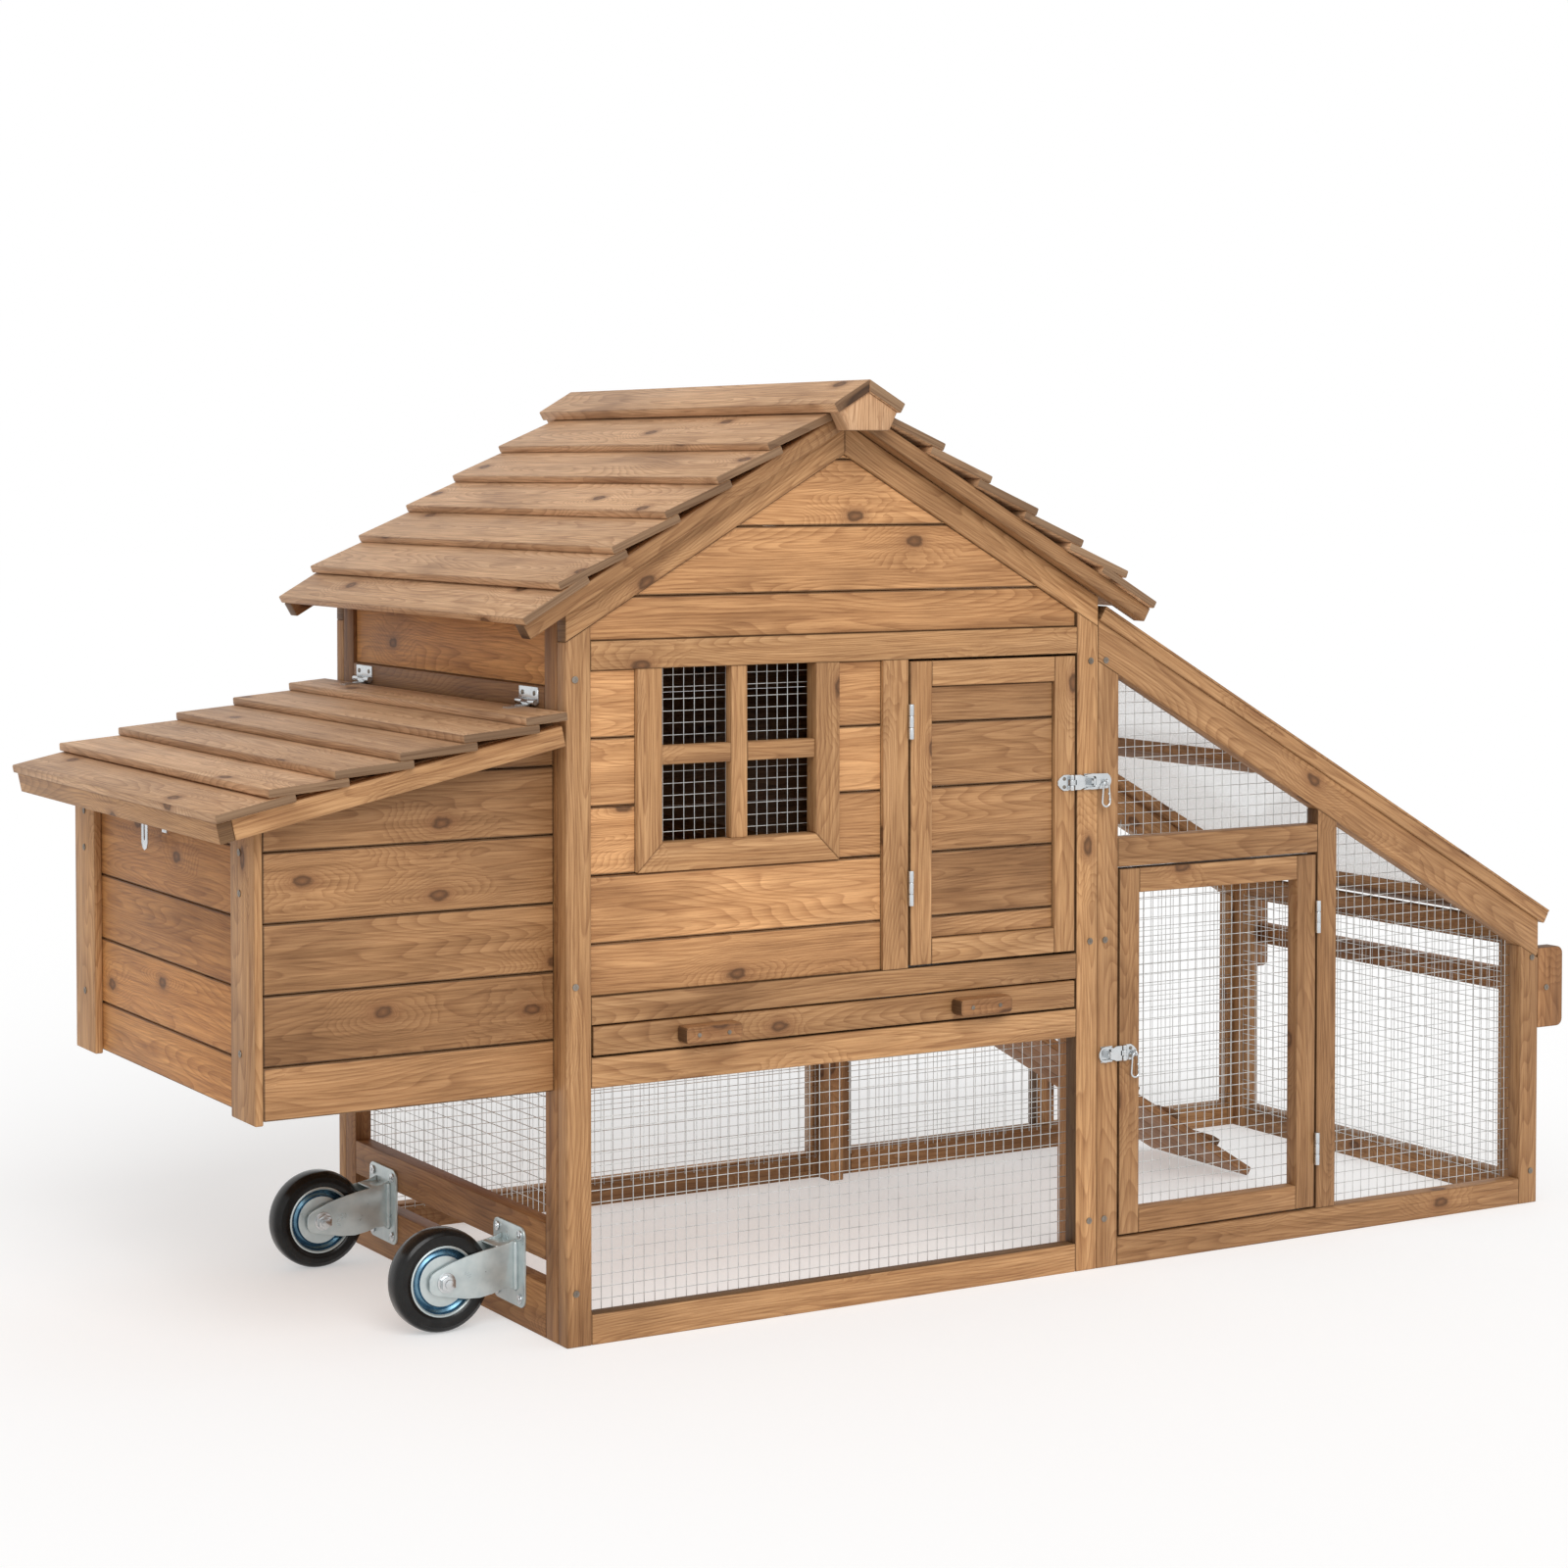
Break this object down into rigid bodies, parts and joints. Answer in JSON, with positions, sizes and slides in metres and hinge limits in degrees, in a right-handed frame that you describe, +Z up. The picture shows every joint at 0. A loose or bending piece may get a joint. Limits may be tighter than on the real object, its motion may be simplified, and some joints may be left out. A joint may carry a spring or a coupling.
{
  "type": "chicken tractor",
  "caption": "Movable hen coop with a gabled board house, lidded nest box, lean-to wire run, slide-out tray, ramp, castor wheels and carrying handle.",
  "frame": {"origin": "middle of the object's footprint box, on the ground", "axes": "+X along the coop from nest box to handle, +Y from front to back, +Z up"},
  "size_m": [1.7706, 0.696, 1.0024],
  "materials": {
    "stained_wood": "brown stained softwood, satin",
    "zinc_steel": "bright zinc plate",
    "wire_net": "galvanised welded wire",
    "tyre": "solid black rubber",
    "clear_sheet": "clear plastic sheet"
  },
  "bodies": {
    "coop": {"house_front_frame": "stained_wood", "house_front_boards": "stained_wood", "window_frame": "stained_wood", "house_front_nets": "wire_net", "house_back_frame": "stained_wood", "house_back_boards": "stained_wood", "house_back_net": "wire_net", "left_end_frame": "stained_wood", "left_end_boards": "stained_wood", "left_end_net": "wire_net", "partition_frame": "stained_wood", "partition_boards": "stained_wood", "run_front_frame": "stained_wood", "run_front_nets": "wire_net", "run_back_frame": "stained_wood", "run_back_net": "wire_net", "run_end_frame": "stained_wood", "run_end_net": "wire_net", "run_roof_frame": "stained_wood", "run_roof_sheet": "clear_sheet", "roof_left_boards": "stained_wood", "roof_right_boards": "stained_wood", "bargeboards": "stained_wood", "ridge_cap": "stained_wood", "nest_side_boards": "stained_wood", "nest_end_boards": "stained_wood", "nest_posts": "stained_wood", "nest_floor": "stained_wood", "nest_divider": "stained_wood", "perch": "stained_wood", "tray_runners": "stained_wood", "castor_forks": "zinc_steel", "castor_bolts": "zinc_steel", "handle_cheeks": "stained_wood", "handle_bar": "stained_wood", "post_ironmongery": "zinc_steel", "frame_screws": "zinc_steel"},
    "house_door": {"house_door_frame": "stained_wood", "house_door_boards": "stained_wood", "house_door_ironmongery": "zinc_steel"},
    "run_door": {"run_door_frame": "stained_wood", "run_door_net": "wire_net", "run_door_ironmongery": "zinc_steel"},
    "nest_lid": {"lid_boards": "stained_wood", "lid_battens": "stained_wood", "lid_hinge_leaves": "zinc_steel"},
    "tray": {"tray_pan": "stained_wood", "tray_front": "stained_wood", "tray_handles": "stained_wood"},
    "ramp": {"ramp_board": "stained_wood", "ramp_cleats": "stained_wood"},
    "front_wheel": {"front_tyre": "tyre", "front_hub": "zinc_steel"},
    "back_wheel": {"back_tyre": "tyre", "back_hub": "zinc_steel"},
    "house_latch": {"house_hasp_leaf": "zinc_steel"},
    "run_latch": {"run_hasp_leaf": "zinc_steel"},
    "lid_latch": {"lid_hasp_leaf": "zinc_steel"},
    "house_snap_hook": {"house_hook": "zinc_steel"},
    "run_snap_hook": {"run_hook": "zinc_steel"}
  },
  "joints": [
    {"name": "house_door_hinge", "type": "hinge", "parent": "coop", "child": "house_door", "pos_m": [-0.07948, -0.3002, 0.531], "axis": [0, 0, -1], "range_deg": [0, 120]},
    {"name": "run_door_hinge", "type": "hinge", "parent": "coop", "child": "run_door", "pos_m": [0.49202, -0.3002, 0.243], "axis": [0, 0, 1], "range_deg": [0, 120]},
    {"name": "nest_lid_hinge", "type": "hinge", "parent": "coop", "child": "nest_lid", "pos_m": [-0.50273, 0, 0.6645], "axis": [0, 1, 0], "range_deg": [0, 55]},
    {"name": "tray_slide", "type": "slide", "parent": "coop", "child": "tray", "axis": [0, -1, 0], "range_m": [0, 0.5]},
    {"name": "ramp_hinge", "type": "hinge", "parent": "coop", "child": "ramp", "pos_m": [0.18127, 0.098, 0.287], "axis": [0, -1, 0], "range_deg": [0, 38]},
    {"name": "front_wheel_axle", "type": "hinge", "parent": "coop", "child": "front_wheel", "pos_m": [-0.58273, -0.165, 0.0555], "axis": [0, 1, 0], "continuous": true},
    {"name": "back_wheel_axle", "type": "hinge", "parent": "coop", "child": "back_wheel", "pos_m": [-0.58273, 0.165, 0.0555], "axis": [0, 1, 0], "continuous": true},
    {"name": "house_latch_hinge", "type": "hinge", "parent": "house_door", "child": "house_latch", "pos_m": [0.13527, -0.3001, 0.555], "axis": [0, 0, -1], "range_deg": [0, 95]},
    {"name": "run_latch_hinge", "type": "hinge", "parent": "run_door", "child": "run_latch", "pos_m": [0.20977, -0.3001, 0.24363], "axis": [0, 0, 1], "range_deg": [0, 95]},
    {"name": "lid_latch_hinge", "type": "hinge", "parent": "nest_lid", "child": "lid_latch", "pos_m": [-0.83537, 0.02, 0.56076], "axis": [0, 1, 0], "range_deg": [0, 45]},
    {"name": "house_hook_swing", "type": "hinge", "parent": "house_latch", "child": "house_snap_hook", "pos_m": [0.17927, -0.3048, 0.554], "axis": [0, 1, 0], "range_deg": [-20, 20]},
    {"name": "run_hook_swing", "type": "hinge", "parent": "run_door", "child": "run_snap_hook", "pos_m": [0.22277, -0.3028, 0.24263], "axis": [0, 1, 0], "range_deg": [-20, 20]}
  ]
}
